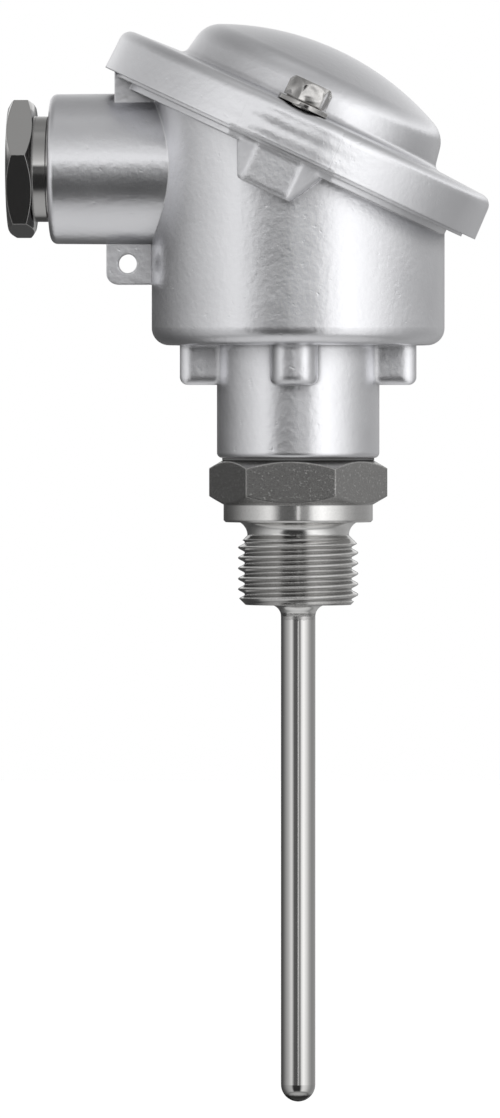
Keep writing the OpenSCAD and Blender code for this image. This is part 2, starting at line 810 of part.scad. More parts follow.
// One wire: bare in the sheath, sleeved above it, bent over to its terminal.
module lead_wire(angle) {
  run_end = terminal_reach - clamp_w / 2 + 1.5;
  bend_z = wire_level - wire_bend_r;
  rotate(angle) {
    translate([wire_ring_r, 0, element_z + element_l])
      cylinder(d = wire_d, h = bend_z - element_z - element_l);
    translate([wire_ring_r, 0, sheath_top + 0.2]) cylinder(d = sleeve_d, h = bend_z - sheath_top - 0.2);
    translate([wire_ring_r + wire_bend_r, 0, bend_z]) rotate([90, 0, 0])
      rotate_extrude(angle = 90, start = 90) translate([wire_bend_r, 0]) circle(d = sleeve_d);
    translate([wire_ring_r + wire_bend_r, 0, wire_level]) rotate([0, 90, 0])
      cylinder(d = sleeve_d, h = run_end - wire_ring_r - wire_bend_r);
  }
}

module lead_wires() {
  color("firebrick") for (a = terminal_angles) lead_wire(a);
}

module terminal_block() {
  edge_r = 3;
  rib_w = 1.6;
  color("white") difference() {
    union() {
      translate([-block_l / 2, -block_w / 2, plate_top]) linear_extrude(block_h)
        rounded_square([block_l, block_w], edge_r);
      intersection() {
        translate([-block_l / 2, -block_w / 2, block_top - eps]) linear_extrude(rib_h)
          rounded_square([block_l, block_w], edge_r);
        union() {
          translate([-block_l / 2, -rib_w / 2, block_top - eps]) cube([block_l, rib_w, rib_h]);
          translate([-rib_w, -block_w / 2, block_top - eps]) cube([2 * rib_w, block_w, rib_h]);
        }
      }
    }
    translate([0, 0, plate_top - eps]) cylinder(d = block_bore, h = block_h + rib_h + 1);
    for (s = [-1, 1]) translate([0, s * rivet_y, plate_top - eps]) {
      cylinder(d = rivet_d, h = block_h + rib_h + 1);
      translate([0, 0, block_h]) cylinder(d = rivet_head_d + 3 * slip_gap, h = rib_h + 1);
    }
  }
}

module on_terminals() {
  for (a = terminal_angles) rotate(a) translate([terminal_reach, 0, block_top]) children();
}

module terminal_clamps() {
  color("goldenrod") on_terminals() difference() {
    translate([-clamp_w / 2, -clamp_w / 2, 0]) cube([clamp_w, clamp_w, clamp_h]);
    translate([-clamp_w, 0, wire_level - block_top]) rotate([0, 90, 0])
      cylinder(d = sleeve_d + 0.1, h = 2 * clamp_w);
    translate([0, 0, wire_level - block_top]) cylinder(r = terminal_r, h = clamp_h);
  }
}

module terminal_screws() {
  shank_z = wire_level - block_top + sleeve_d / 2 + 0.1;
  color("goldenrod") on_terminals() difference() {
    union() {
      translate([0, 0, shank_z]) cylinder(r = terminal_r - thread_gap, h = clamp_h - shank_z + eps);
      translate([0, 0, clamp_h]) cylinder(d = terminal_head_d, h = terminal_head_h);
    }
    translate([-terminal_head_d, -terminal_r / 4, clamp_h + terminal_head_h / 2])
      cube([2 * terminal_head_d, terminal_r / 2, terminal_head_h]);
  }
}

module block_rivets() {
  color("silver") for (s = [-1, 1]) translate([0, s * rivet_y, plate_top]) {
    cylinder(d = rivet_d - 2 * thread_gap, h = block_h + eps);
    translate([0, 0, block_h]) cylinder(d = rivet_head_d, h = rivet_head_h);
  }
}

// Cheese-head screw M4, its head's lower face on the XY plane.
module cheese_screw(shank_l) {
  color("silver") difference() {
    union() {
      translate([0, 0, -shank_l]) cylinder(r = m4_r - thread_gap, h = shank_l + eps);
      cylinder(d = m4_head_d, h = m4_head_h);
    }
    translate([-m4_head_d, -m4_slot_w / 2, m4_head_h - m4_slot_t])
      cube([2 * m4_head_d, m4_slot_w, m4_slot_t + eps]);
  }
}

module insert_screws() {
  for (s = [-1, 1]) translate([0, s * insert_r, spring_top])
    cheese_screw(spring_l + plate_t + m4_depth - 1);
}

// Compression spring: a round wire wound along a helix.
module spring() {
  sides = 8;
  steps = round(spring_turns * 16);
  mean_r = (spring_d - spring_wire) / 2;
  rise = spring_l - spring_wire;
  points = [for (i = [0 : steps]) let (a = 360 * spring_turns * i / steps) for (j = [0 : sides - 1])
    let (b = 360 * j / sides, r = mean_r + spring_wire / 2 * cos(b))
    [r * cos(a), r * sin(a), spring_wire / 2 * (1 + sin(b)) + rise * i / steps]];
  ends = [[for (j = [0 : sides - 1]) j], [for (j = [sides - 1 : -1 : 0]) steps * sides + j]];
  skin = [for (i = [0 : steps - 1], j = [0 : sides - 1]) let (k = (j + 1) % sides)
    [i * sides + j, (i + 1) * sides + j, (i + 1) * sides + k, i * sides + k]];
  polyhedron(points, concat(ends, skin), convexity = 6);
}

module insert_springs() {
  color("silver") for (s = [-1, 1]) translate([0, s * insert_r, plate_top]) spring();
}

module earth_washer() {
  color("silver") translate([earth_x, 0, shelf_z + shelf_h]) ring(7.4, 2 * m4_r + 2 * slip_gap, 0.8);
}

module earth_screw() {
  translate([earth_x, 0, shelf_z + shelf_h + 0.8]) cheese_screw(5.4);
}

head_body();
sealing_eye();
cover();
cover_gasket();
cover_screw(-1);  // front_cover_screw
cover_screw(1);  // rear_cover_screw
screw_washer(-1);  // front_screw_washer
screw_washer(1);  // rear_screw_washer
screw_clip(-1);  // front_screw_clip
screw_clip(1);  // rear_screw_clip
pressure_screw();
gland_washer();
gland_seal();
seal_seat_washer();
neck_gasket();
process_fitting();
protection_tube();
tube_tip();
insert_plate();
insert_sheath();
sensing_element();
lead_wires();
terminal_block();
terminal_clamps();
terminal_screws();
block_rivets();
insert_screws();
insert_springs();
earth_screw();
earth_washer();
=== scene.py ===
"""Looks for the screw-in temperature probe with its cast connection head."""
import json
import math
from typing import NamedTuple

import bmesh
import bpy
from mathutils import Matrix, Vector


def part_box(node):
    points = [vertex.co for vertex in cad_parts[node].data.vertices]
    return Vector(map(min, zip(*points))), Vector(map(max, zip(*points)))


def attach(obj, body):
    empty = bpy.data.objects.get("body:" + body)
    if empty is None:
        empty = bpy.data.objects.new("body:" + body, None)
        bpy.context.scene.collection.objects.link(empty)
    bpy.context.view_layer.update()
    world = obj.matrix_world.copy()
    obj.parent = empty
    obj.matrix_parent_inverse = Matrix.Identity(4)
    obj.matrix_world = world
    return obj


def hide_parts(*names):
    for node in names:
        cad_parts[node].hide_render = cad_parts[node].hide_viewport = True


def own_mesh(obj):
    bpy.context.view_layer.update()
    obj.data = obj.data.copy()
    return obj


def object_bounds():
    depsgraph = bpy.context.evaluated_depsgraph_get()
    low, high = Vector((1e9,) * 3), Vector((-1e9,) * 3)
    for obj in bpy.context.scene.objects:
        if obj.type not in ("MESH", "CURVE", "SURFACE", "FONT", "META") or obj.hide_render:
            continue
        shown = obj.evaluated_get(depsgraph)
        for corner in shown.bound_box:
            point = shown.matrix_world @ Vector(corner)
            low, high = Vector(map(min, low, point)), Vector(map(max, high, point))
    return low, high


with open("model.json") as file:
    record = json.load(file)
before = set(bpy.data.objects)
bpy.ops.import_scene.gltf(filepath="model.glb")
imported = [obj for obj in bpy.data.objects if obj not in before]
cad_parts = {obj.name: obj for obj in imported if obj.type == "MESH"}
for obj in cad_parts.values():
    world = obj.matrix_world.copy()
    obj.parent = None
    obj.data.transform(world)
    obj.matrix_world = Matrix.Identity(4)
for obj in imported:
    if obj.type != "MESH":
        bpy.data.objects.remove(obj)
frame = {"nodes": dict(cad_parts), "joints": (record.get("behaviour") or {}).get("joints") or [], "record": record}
CAD_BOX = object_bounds()
NODES = frame["nodes"]
SLOT_OF = {row["node"]: row["material_slot"] for row in frame["record"]["subparts"]}
MM = 0.001
TAU = 2 * math.pi


# ---- Places and sizes in metres, worked out from the frame where it has them ----

def joint(name):
    return next(j for j in frame["joints"] if j["name"] == name)


def mount(name):
    return next(m for m in frame["record"]["mounts"] if m["name"] == name)


class Thread(NamedTuple):
    """A right-handed thread about Z, whose ridge a 45 degree cone cuts off at each end."""
    major: float
    depth: float
    pitch: float
    low: float
    high: float
    low_cone: float  # the cone's radius at the low end
    high_cone: float  # and at the high end
    start: float  # where the winding begins
    steps: int  # facets to a turn


# The cover leans along X; its own places are counted from where the front screw turns.
COVER_AXIS = Vector(joint("cover_lift")["axis"]).normalized()
COVER_TILT = math.atan2(COVER_AXIS.x, COVER_AXIS.z)
COVER_AT = Vector(joint("front_cover_screw_turn")["pos_m"])
RIM_R = 35.5 * MM
RIM_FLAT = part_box("cover")[1].y
FLAT_FROM, FLAT_FULL = 0.955 * RIM_FLAT, 0.98 * RIM_FLAT
FLAT_HALF = math.sqrt(RIM_R ** 2 - RIM_FLAT ** 2)
RIB_PITCH = 2.5 * MM

# The screw bosses below the rim, and the lugs below the body, whose faces look away from the stem.
BOSS_HALF = 9.5 * MM
BOSS_LOW, BOSS_HIGH = -17.5 * MM, -8.6 * MM
BOSS_FROM = 27 * MM
LUG_LOW, LUG_HIGH = 23.9 * MM, 30.8 * MM
LUG_HALF = 4.1 * MM
LUG_FACE_FROM = 14.6 * MM
LUG_CROWN = 0.42

# The stem, whose collar seals at zero. The tube is welded on at its top and darkens to near black at its tip.
COLLAR_TOP = 3.1 * MM
PIPE_R = mount("process_thread")["dims"]["r_mm"] * MM
TUBE_TOP = -16.4 * MM
TIP_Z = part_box("tube_tip")[0].z
TIP_DARK_LENGTH = 1.25 * MM

PIPE_THREAD = Thread(
    major=PIPE_R, depth=1.162 * MM, pitch=1.814 * MM, low=-14.4 * MM, high=-2.3 * MM,
    low_cone=PIPE_R - 1.3 * MM, high_cone=8.85 * MM, start=-17.13 * MM, steps=96)
GLAND_THREAD = Thread(
    major=9.95 * MM, depth=0.92 * MM, pitch=1.5 * MM, low=36.1 * MM, high=42.65 * MM,
    low_cone=9.25 * MM, high_cone=9.0 * MM, start=35 * MM, steps=72)
SCREW_THREAD = Thread(
    major=1.95 * MM, depth=0.43 * MM, pitch=0.7 * MM, low=-13.27 * MM, high=-4.33 * MM,
    low_cone=1.5 * MM, high_cone=1.5 * MM, start=-14 * MM, steps=40)

ENTRY_Z = mount("cable_bore")["pos_m"][2]
SPRING_LOW, SPRING_HIGH = (corner.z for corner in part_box("insert_springs"))
SPRING_R = 3.35 * MM
SPRING_WIRE = 0.7 * MM
SPRING_TURNS = 4.5
INSERT_SCREW_Y = 16.5 * MM


# ---- Camera ----

VIEW_AZIMUTH = math.radians(2.75)
VIEW_ELEVATION = math.radians(0.8)
VIEW_DISTANCE = 1.93
VIEW_TARGET = Vector((-8.4 * MM, 0, -6.43 * MM))


def make_camera():
    data = bpy.data.cameras.new("camera")
    data.lens = 356.7
    data.sensor_width = 36
    data.clip_start = 0.1
    data.clip_end = 60
    level = math.cos(VIEW_ELEVATION)
    back = Vector((math.sin(VIEW_AZIMUTH) * level, -math.cos(VIEW_AZIMUTH) * level,
                   math.sin(VIEW_ELEVATION)))
    camera = bpy.data.objects.new("camera", data)
    camera.location = VIEW_TARGET + back * VIEW_DISTANCE
    camera.rotation_mode = "QUATERNION"
    camera.rotation_quaternion = (-back).to_track_quat("-Z", "Y")
    bpy.context.collection.objects.link(camera)
    bpy.context.scene.camera = camera


# ---- Node trees: maths as expressions, and one way to add any other node ----

class Wire:
    """An output socket, with the operators that the materials and patterns use."""

    def __init__(self, tree, socket):
        self.tree = tree
        self.socket = socket

    def maths(self, operation, other=None, swap=False):
        first, second = (other, self) if swap else (self, other)
        return add_node(self.tree, "ShaderNodeMath", {0: first, 1: second}, operation=operation)

    def __add__(self, other):
        return self.maths("ADD", other)

    def __radd__(self, other):
        return self.maths("ADD", other, swap=True)

    def __sub__(self, other):
        return self.maths("SUBTRACT", other)

    def __rsub__(self, other):
        return self.maths("SUBTRACT", other, swap=True)

    def __mul__(self, other):
        return self.maths("MULTIPLY", other)

    def __rmul__(self, other):
        return self.maths("MULTIPLY", other, swap=True)

    def __truediv__(self, other):
        return self.maths("DIVIDE", other)

    def __rtruediv__(self, other):
        return self.maths("DIVIDE", other, swap=True)

    def absolute(self):
        return self.maths("ABSOLUTE")

    def clamp(self, low=0.0, high=1.0):
        return add_node(self.tree, "ShaderNodeClamp", {0: self, 1: low, 2: high})


def plug(tree, slot, value):
    """Link a wire to an input, or set the input to a plain value; None leaves it as it is."""
    if isinstance(value, Wire):
        tree.links.new(value.socket, slot)
    elif value is not None:
        slot.default_value = (*value, 1) if slot.type == "RGBA" else value


def add_node(tree, kind, sockets=None, output=0, **settings):
    """Add a node: its settings, then its inputs by name or place. Returns the output asked for."""
    made = tree.nodes.new(kind)
    for key, value in settings.items():
        if key == "stops":
            set_stops(made.color_ramp, value)
        else:
            setattr(made, key, value)
    for key, value in (sockets or {}).items():
        plug(tree, made.inputs[key], value)
    return Wire(tree, made.outputs[output])


def set_stops(ramp, stops):
    while len(ramp.elements) < len(stops):
        ramp.elements.new(1)
    for element, (position, colour) in zip(ramp.elements, stops):
        element.position = position
        element.color = (*colour, 1)


def within(value, low, high, blur):
    """One between two limits, falling to nothing over a blur outside them."""
    middle, half = (low + high) / 2, (high - low) / 2
    return 1.0 - (((value - middle).absolute() - half) / blur).clamp()


def axis_distance(x, y):
    """How far a place is from the stem's axis."""
    return (x * x + y * y).maths("SQRT")


class Nodes:
    """A node tree, and what materials, patterns and the world all do with one."""

    def __init__(self, tree):
        self.tree = tree

    def node(self, kind, sockets=None, output=0, **settings):
        return add_node(self.tree, kind, sockets, output, **settings)

    def apart(self, vector):
        """The three parts of a vector."""
        made = self.node("ShaderNodeSeparateXYZ", {0: vector}).socket.node
        return [Wire(self.tree, part) for part in made.outputs]

    def together(self, x, y, z):
        return self.node("ShaderNodeCombineXYZ", {0: x, 1: y, 2: z})


# ---- Materials ----

class Finish(Nodes):
    """A material: patterns on Object coordinates that feed one Principled shader."""

    def __init__(self, name):
        self.material = bpy.data.materials.new(name)
        self.material.use_nodes = True
        super().__init__(self.material.node_tree)
        self.shader = self.tree.nodes["Principled BSDF"]
        self.place = self.node("ShaderNodeTexCoord", output="Object")

    def noise(self, scale, detail, roughness, place=None):
        """Noise with a scale in cells to the metre, unless the place is stretched."""
        return self.node("ShaderNodeTexNoise", {
            "Vector": place or self.place, "Scale": scale, "Detail": detail,
            "Roughness": roughness}, "Fac")

    def streaks(self, x, y, z):
        """Noise stretched along the axes, with its cells to the metre along each."""
        place = self.node("ShaderNodeMapping", {"Vector": self.place, "Scale": (x, y, z)})
        return self.noise(1.0, 2, 0.6, place)

    def level_lines(self):
        """Fine level lines, which run round the stem as a lathe's marks do."""
        return self.streaks(40, 40, 9000)

    def mix(self, factor, first, second):
        """A mixture of two colours; 6 and 7 are the Mix node's colours, and 2 is their mixture."""
        return self.node("ShaderNodeMix", {"Factor": factor, 6: first, 7: second}, 2,
                         data_type="RGBA")

    def remap(self, value, low, high, to_low=0.0, to_high=1.0, **settings):
        return self.node("ShaderNodeMapRange", {
            "Value": value, "From Min": low, "From Max": high, "To Min": to_low,
            "To Max": to_high}, **settings)

    def bump(self, height, strength, distance, normal=None):
        return self.node("ShaderNodeBump", {
            "Height": height, "Strength": strength, "Distance": distance, "Normal": normal},
            "Normal")

    def edge(self, radius):
        """A normal that rounds every edge to the radius."""
        return self.node("ShaderNodeBevel", {"Radius": radius}, samples=6)

    def add_vectors(self, first, second):
        return self.node("ShaderNodeVectorMath", {0: first, 1: second}, operation="ADD")

    def finished(self, **inputs):
        """Feed the shader, and give the material."""
        for key, value in inputs.items():
            plug(self.tree, self.shader.inputs[key.replace("_", " ")], value)
        return self.material


def cast_lacquer():
    """Silver lacquer on a pressure casting: orange peel, pits, soft edges, and painted shade that darkens its
    recesses.
    """
    f = Finish("cast_lacquer")
    x, y, z = f.apart(f.place)
    rise, across = cover_places(x, z)
    rim = f.remap(y.absolute(), FLAT_FROM, FLAT_FULL)
    bosses = screw_bosses(f, y, rise, across)
    lugs = within(z, LUG_LOW, LUG_HIGH, 0.3 * MM)
    peel = f.noise(1300, 3, 0.55)
    grain = f.noise(900, 2, 0.5)
    broad = f.noise(160, 2, 0.5)
    pits = f.remap(f.noise(700, 2, 0.6), 0.66, 0.74)
    # Painted shade: the base colour darkens towards grey where ambient occlusion finds nearby walls, in recesses
    # and creases and under the rim and lugs.
    painted_recess_shade = f.node("ShaderNodeAmbientOcclusion", {"Distance": 6 * MM}, "AO", samples=6)
    colour = f.mix(broad, (0.756, 0.758, 0.780), (0.836, 0.838, 0.860))
    colour = f.mix(f.remap(painted_recess_shade, 0.20, 0.76), (0.38, 0.38, 0.39), colour)
    shape = f.edge(bosses.maths("MAXIMUM", lugs) * 1.1 * MM + 0.4 * MM)
    shape = f.add_vectors(shape, rim_lean(f, rim, across))
    shape = f.add_vectors(shape, lug_crown(f, x, y, lugs))
    shape = f.node("ShaderNodeVectorMath", {0: shape}, operation="NORMALIZE")
    marks = f.bump(grain * 0.32 + rim_ribs(f, rim, rise, across) * 0.17, 1.0, 0.12 * MM, shape)
    return f.finished(Base_Color=colour, Metallic=1.0, Roughness=0.25 + broad * 0.06 + peel * 0.04,
                      Normal=f.bump(peel * 0.6 - pits * 0.6, 0.5, 0.05 * MM, marks))


def cover_places(x, z):
    """Places counted along the cover's axis and across it, up its slope, from the screws."""
    x, z = x - COVER_AT.x, z - COVER_AT.z
    return x * COVER_AXIS.x + z * COVER_AXIS.z, x * COVER_AXIS.z - z * COVER_AXIS.x


def screw_bosses(f, y, rise, across):
    """Where the two screw bosses of the body are, whose edges are well rounded."""
    beside = within(across, -BOSS_HALF, BOSS_HALF, 0.5 * MM)
    below = within(rise, BOSS_LOW, BOSS_HIGH, 0.3 * MM)
    return beside * below * f.remap(y.absolute(), BOSS_FROM, BOSS_FROM + 1 * MM)


def rim_ribs(f, rim, rise, across):
    """Soft ribs along the flats of the cover's rim, fading out to both sides."""
    wander = f.noise(90, 1, 0.5) * 0.2
    wave = ((rise / RIB_PITCH + wander) * TAU).maths("SINE")
    return wave * rim * f.remap(across.absolute(), 17 * MM, 5 * MM)


def rim_lean(f, rim, across):
    """Lets the rim's flats lean outwards towards their ends, to run into the round."""
    facing = f.apart(f.node("ShaderNodeNewGeometry", output="True Normal"))
    turned = (facing[0] * COVER_AXIS.z - facing[2] * COVER_AXIS.x).absolute()
    flat = f.remap(turned, 0.20, 0.08) * rim
    lean = f.remap(across.absolute(), 2 * MM, FLAT_HALF, 0.0, FLAT_HALF / RIM_FLAT,
                   interpolation_type="SMOOTHSTEP")
    lean = lean * across.maths("SIGN") * flat
    return f.together(lean * COVER_AXIS.z, 0.0, lean * -COVER_AXIS.x)


def lug_crown(f, x, y, lugs):
    """Crowns the outer faces of the four lugs a little."""
    outer = f.remap(axis_distance(x, y), LUG_FACE_FROM, LUG_FACE_FROM + 0.6 * MM) * lugs
    lean = [here / LUG_HALF * LUG_CROWN * outer * within(here, -LUG_HALF, LUG_HALF, 0.2 * MM)
            for here in (x, y)]
    return f.together(*lean, 0.0)


def fitting_steel():
    """Bar stock: bright and turned up to the collar, duller and sanded from the hexagon up, with painted shade in
    the thread's roots and painted light on the relief and the throat.
    """
    f = Finish("turned_stainless")
    x, y, z = f.apart(f.place)
    thread = PIPE_THREAD
    dull = f.remap(z, COLLAR_TOP - 0.2 * MM, COLLAR_TOP + 0.2 * MM)
    # Painted shade: the base colour darkens with depth into the thread's roots.
    painted_root_shade = f.remap(axis_distance(x, y), thread.major, thread.major - thread.depth)
    painted_root_shade = painted_root_shade * within(z, thread.low, thread.high, 0.3 * MM)
    # Painted light: the turned relief under the collar and the throat above the tube are lightened in the base
    # colour, as if they caught more light.
    painted_relief_light = within(z, thread.high + 0.4 * MM, -0.1 * MM, 0.3 * MM)
    painted_throat_light = within(z, TUBE_TOP, thread.low - 0.3 * MM, 0.2 * MM)
    lines = f.level_lines()
    speckle = f.noise(2900, 2, 0.6)
    sand = f.remap(f.noise(2400, 1, 0.5), 0.62, 0.74) * dull
    shade = (lines - 0.5) * 0.10 + (speckle - 0.5) * 0.26 + 0.66 - dull * 0.52 + sand * 0.35
    shade = (shade - painted_root_shade * 0.46 + (painted_relief_light + painted_throat_light) * 0.34).clamp()
    height = lines * 0.5 + speckle * 0.8 + sand * 2.0
    return f.finished(Base_Color=f.mix(shade, (0.30, 0.296, 0.29), (0.80, 0.795, 0.785)),
                      Metallic=1.0, Roughness=0.11 + dull * 0.12 + speckle * 0.06,
                      Normal=f.bump(height, 0.18, 0.02 * MM, f.edge(0.4 * MM)))


def polished_tube(name):
    """Drawn and polished tube: a tinted weld line at its top, darkened to near black towards its closed end."""
    f = Finish(name)
    z = f.apart(f.place)[2]
    draw = f.streaks(900, 900, 30)
    speckle = f.noise(2600, 2, 0.6)
    mottle = f.noise(1500, 3, 0.6)
    weld_z = z + (mottle - 0.5) * 0.6 * MM
    weld = within(weld_z, TUBE_TOP - 0.5 * MM, TUBE_TOP + 0.2 * MM, 0.15 * MM)
    # The closed end is darkened to near black over its last millimetre and a quarter.
    tip_darkening = f.remap(z + (mottle - 0.5) * 0.3 * MM, TIP_Z + TIP_DARK_LENGTH + 0.2 * MM,
                    TIP_Z + TIP_DARK_LENGTH - 0.2 * MM)
    shade = (draw - 0.5) * 0.10 + (speckle - 0.5) * 0.14 + 0.5 - weld * mottle * 0.9
    steel = f.mix(shade.clamp(), (0.45, 0.445, 0.44), (0.66, 0.655, 0.645))
    height = draw * 0.6 + speckle * 0.4 + weld * mottle * 6.0
    return f.finished(Base_Color=f.mix(tip_darkening, steel, (0.030, 0.029, 0.028)), Metallic=1.0,
                      Roughness=0.05 + speckle * 0.05 + weld * 0.15 + tip_darkening * 0.12,
                      Normal=f.bump(height, 0.12, 0.02 * MM))


def nickel_plate():
    """Nickel on the pressure screw: faint level lines, fine speckle."""
    f = Finish("nickel_plate")
    lines = f.level_lines()
    speckle = f.noise(2600, 2, 0.6)
    shade = (lines - 0.5) * 0.10 + (speckle - 0.5) * 0.14 + 0.5
    colour = f.mix(shade.clamp(), (0.387, 0.3825, 0.378), (0.513, 0.5085, 0.4995))
    return f.finished(Base_Color=colour, Metallic=1.0, Roughness=0.11 + speckle * 0.05,
                      Normal=f.bump(lines * 0.6 + speckle * 0.4, 0.12, 0.02 * MM, f.edge(0.2 * MM)))


def bright_screw():
    """Bright cold-headed screws, whose facets are slightly hollow and wavy."""
    f = Finish("bright_screw")
    waves = f.noise(330, 0, 0.4)
    speckle = f.noise(2600, 2, 0.6)
    return f.finished(Base_Color=f.mix(speckle, (0.44, 0.43, 0.42), (0.62, 0.61, 0.60)),
                      Metallic=1.0, Roughness=0.12 + speckle * 0.04,
                      Normal=f.bump(waves, 1.0, 1.1 * MM, f.edge(0.3 * MM)))


def quiet_finish(name, colour, metallic, rough):
    """A quiet finish with a fine grain, for gaskets and the pieces inside the head."""
    f = Finish(name)
    grains = f.noise(1200, 3, 0.6)
    shade = f.mix(grains, [0.9 * part for part in colour],
                  [min(1, 1.08 * part) for part in colour])
    return f.finished(Base_Color=shade, Metallic=metallic, Roughness=rough + grains * 0.06,
                      Normal=f.bump(grains, 0.1, 0.03 * MM, f.edge(0.15 * MM)))


# ---- Patterns: what repeats, or follows a rule ----

class Pattern(Nodes):
    """A Geometry Nodes tree with named sizes, run once and turned into a plain mesh."""

    def __init__(self, name, finish, **sizes):
        super().__init__(bpy.data.node_groups.new(name, "GeometryNodeTree"))
        sockets = self.tree.interface
        sockets.new_socket("Geometry", in_out="OUTPUT", socket_type="NodeSocketGeometry")
        sockets.new_socket("Geometry", in_out="INPUT", socket_type="NodeSocketGeometry")
        self.values = {}
        for key, value in {**sizes, "finish": finish}.items():
            kind = "NodeSocketMaterial" if key == "finish" else "NodeSocketFloat"
            made = sockets.new_socket(key, in_out="INPUT", socket_type=kind)
            self.values[made.identifier] = value
        self.entry = self.tree.nodes.new("NodeGroupInput")

    def given(self, key):
        return Wire(self.tree, self.entry.outputs[key])

    def run(self, geometry, carrier=None):
        """The pattern's mesh in its finish; the carrier is a mesh that the pattern may read."""
        real = self.node("GeometryNodeRealizeInstances", {"Geometry": geometry})
        smooth = self.node("GeometryNodeSetShadeSmooth", {"Geometry": real})
        dressed = self.node("GeometryNodeSetMaterial", {
            "Geometry": smooth, "Material": self.given("finish")})
        plug(self.tree, self.tree.nodes.new("NodeGroupOutput").inputs[0], dressed)
        holder = bpy.data.objects.new(self.tree.name, carrier or bpy.data.meshes.new("carrier"))
        bpy.context.collection.objects.link(holder)
        modifier = holder.modifiers.new("pattern", "NODES")
        modifier.node_group = self.tree
        for identifier, value in self.values.items():
            modifier[identifier] = value
        seen = holder.evaluated_get(bpy.context.evaluated_depsgraph_get())
        mesh = bpy.data.meshes.new_from_object(seen)
        bpy.data.objects.remove(holder)
        return mesh


def thread_ridge(finish, thread):
    """One helical ridge about Z, bent from a grid: turns along X, the ridge's width along Y."""
    turns = math.ceil((thread.high - thread.low) / thread.pitch) + 2
    width_steps = 20
    sizes = thread._asdict()
    del sizes["steps"]
    p = Pattern("thread_ridge", finish, **sizes)
    grid = p.node("GeometryNodeMeshGrid", {
        "Size X": float(turns), "Size Y": 1.0, "Vertices X": turns * thread.steps + 1,
        "Vertices Y": width_steps + 1})
    x, y, _ = p.apart(p.node("GeometryNodeInputPosition"))
    turn, over = x + turns / 2, y + 0.5
    low, high = p.given("low"), p.given("high")
    z = ((turn + over) * p.given("pitch") + p.given("start")).clamp(low, high)
    r = p.given("major") - p.given("depth") * ((over * TAU).maths("COSINE") * 0.5 + 0.5)
    r = r.maths("MINIMUM", p.given("low_cone") + z - low)
    r = r.maths("MINIMUM", p.given("high_cone") + high - z)
    angle = turn * TAU
    spot = p.together(r * angle.maths("COSINE"), r * angle.maths("SINE"), z)
    wound = p.node("GeometryNodeSetPosition", {"Geometry": grid, "Position": spot})
    return p.run(p.node("GeometryNodeMergeByDistance", {"Geometry": wound, "Distance": 1e-7}))


def wound_springs(finish, places):
    """The insert's two equal compression springs."""
    p = Pattern("wound_springs", finish, radius=SPRING_R, wire=SPRING_WIRE,
                rise=SPRING_HIGH - SPRING_LOW - SPRING_WIRE)
    curve = p.node("GeometryNodeCurveSpiral", {
        "Resolution": 40, "Rotations": SPRING_TURNS, "Start Radius": p.given("radius"),
        "End Radius": p.given("radius"), "Height": p.given("rise")})
    ring = p.node("GeometryNodeCurvePrimitiveCircle", {
        "Resolution": 14, "Radius": p.given("wire") / 2})
    coil = p.node("GeometryNodeCurveToMesh", {
        "Curve": curve, "Profile Curve": ring, "Fill Caps": True})
    feet = bpy.data.meshes.new("spring_places")
    feet.from_pydata([(x, y, SPRING_LOW + SPRING_WIRE / 2) for x, y in places], [], [])
    points = p.node("GeometryNodeMeshToPoints", {"Mesh": p.given("Geometry")})
    return p.run(p.node("GeometryNodeInstanceOnPoints", {"Points": points, "Instance": coil}),
                 feet)


# ---- Pieces ----

def dress(node, material):
    mesh = NODES[node].data
    mesh.materials.clear()
    mesh.materials.append(material)


def add_piece(name, mesh, body, node):
    """A piece of the scene that rides on a body and stands for a CAD node."""
    if "custom_normal" in mesh.attributes:
        mesh.attributes.remove(mesh.attributes["custom_normal"])
    mesh.shade_smooth()
    mesh.set_sharp_from_angle(angle=math.radians(40))
    piece = bpy.data.objects.new(name, mesh)
    bpy.context.collection.objects.link(piece)
    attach(piece, body)
    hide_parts(node)
    return piece


def merged_copy(node):
    """A CAD node's mesh with its loose triangles joined."""
    shell = bmesh.new()
    shell.from_mesh(NODES[node].data)
    bmesh.ops.remove_doubles(shell, verts=shell.verts, dist=1e-7)
    return shell


def add_threaded(node, body, finish, to_axis, thread):
    """A CAD node with its plain thread sunk to the core and a real ridge wound on it."""
    shell = merged_copy(node)
    from_axis = to_axis.inverted()
    core = thread.major - thread.depth
    margin = thread.pitch * 0.02
    for vertex in shell.verts:
        at = to_axis @ vertex.co
        r = math.hypot(at.x, at.y)
        if thread.low + margin < at.z < thread.high - margin and r > core - margin:
            sunk = (core - 2 * margin) / r
            vertex.co = from_axis @ Vector((at.x * sunk, at.y * sunk, at.z))
    ridge = thread_ridge(finish, thread)
    ridge.transform(from_axis)
    shell.from_mesh(ridge)
    mesh = bpy.data.meshes.new(node)
    shell.to_mesh(mesh)
    shell.free()
    mesh.materials.append(finish)
    add_piece(node + "_threaded", mesh, body, node)


# ---- Studio ----

